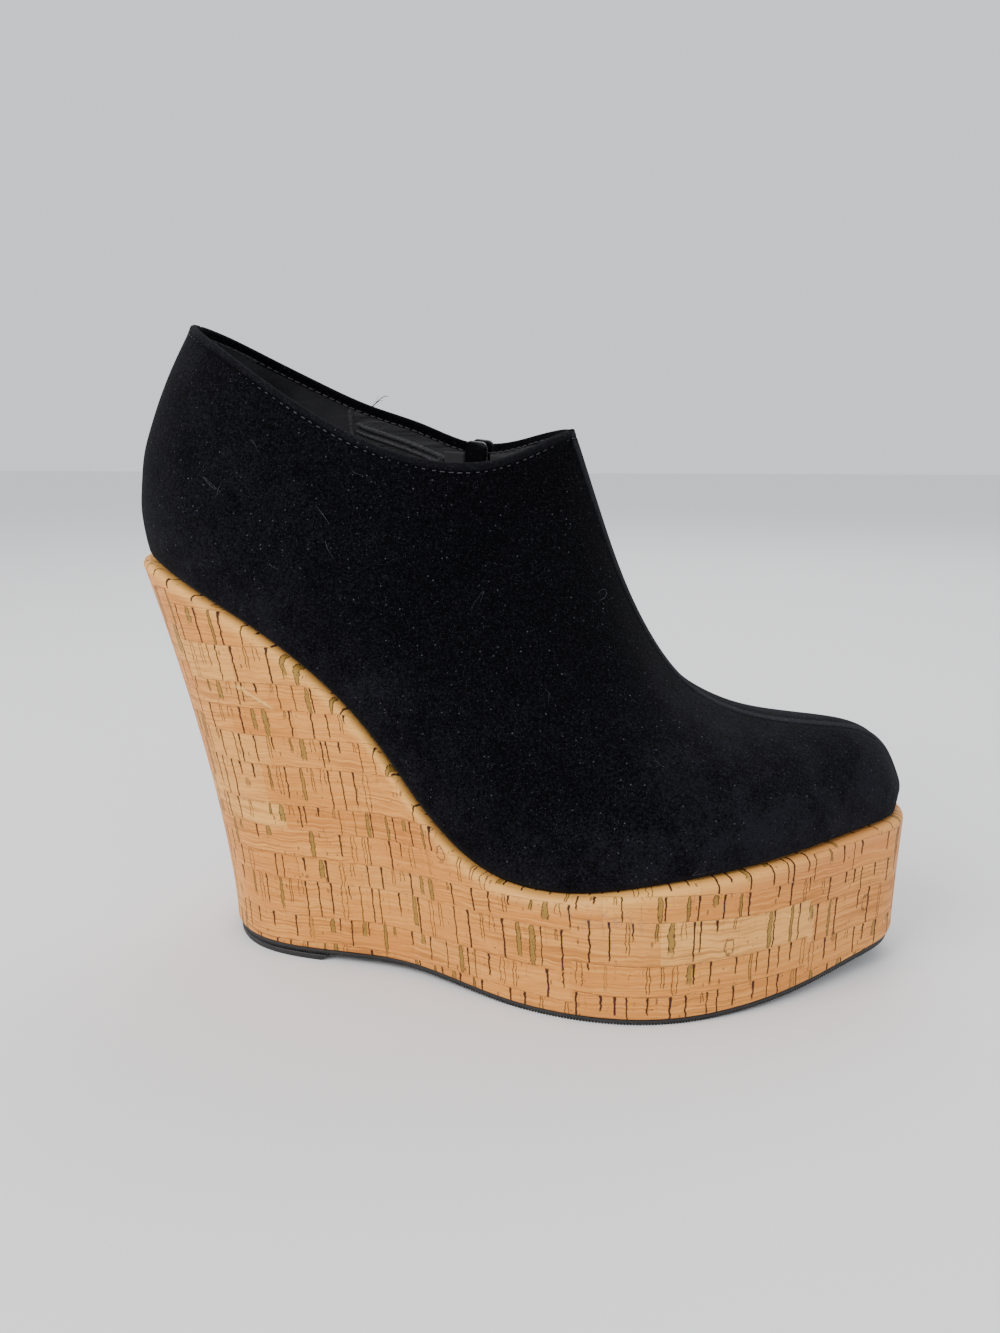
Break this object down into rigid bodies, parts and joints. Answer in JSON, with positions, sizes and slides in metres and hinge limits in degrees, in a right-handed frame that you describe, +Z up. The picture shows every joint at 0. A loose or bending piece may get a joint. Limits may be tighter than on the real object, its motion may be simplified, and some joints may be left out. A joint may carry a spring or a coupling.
{
  "type": "wedge ankle boot",
  "caption": "Right ankle boot with a suede upper that closes on a medial zip, over a high cork-covered wedge and platform with a thin rubber outsole.",
  "frame": {"origin": "on the floor under the middle of the shoe's bounding box", "axes": "+X to the toe, +Y to the medial side, +Z up from the floor"},
  "size_m": [0.2336, 0.094, 0.187],
  "materials": {
    "suede": "matte",
    "lining": "matte",
    "cork": "matte",
    "rubber": "matte",
    "tape": "matte",
    "zip_metal": "gloss"
  },
  "bodies": {
    "shoe": {"upper": "suede", "insole": "lining", "wedge": "cork", "outsole": "rubber", "heel_lift": "rubber", "zip_tape": "tape", "zip_chain": "zip_metal", "zip_slider": "zip_metal"},
    "pull": {"zip_pull": "zip_metal"}
  },
  "joints": [
    {"name": "pull_swing", "type": "hinge", "parent": "shoe", "child": "pull", "pos_m": [-0.01476, 0.03011, 0.15013], "axis": [0.9499, -0.2942, -0.1061], "range_deg": [0, 165]}
  ]
}
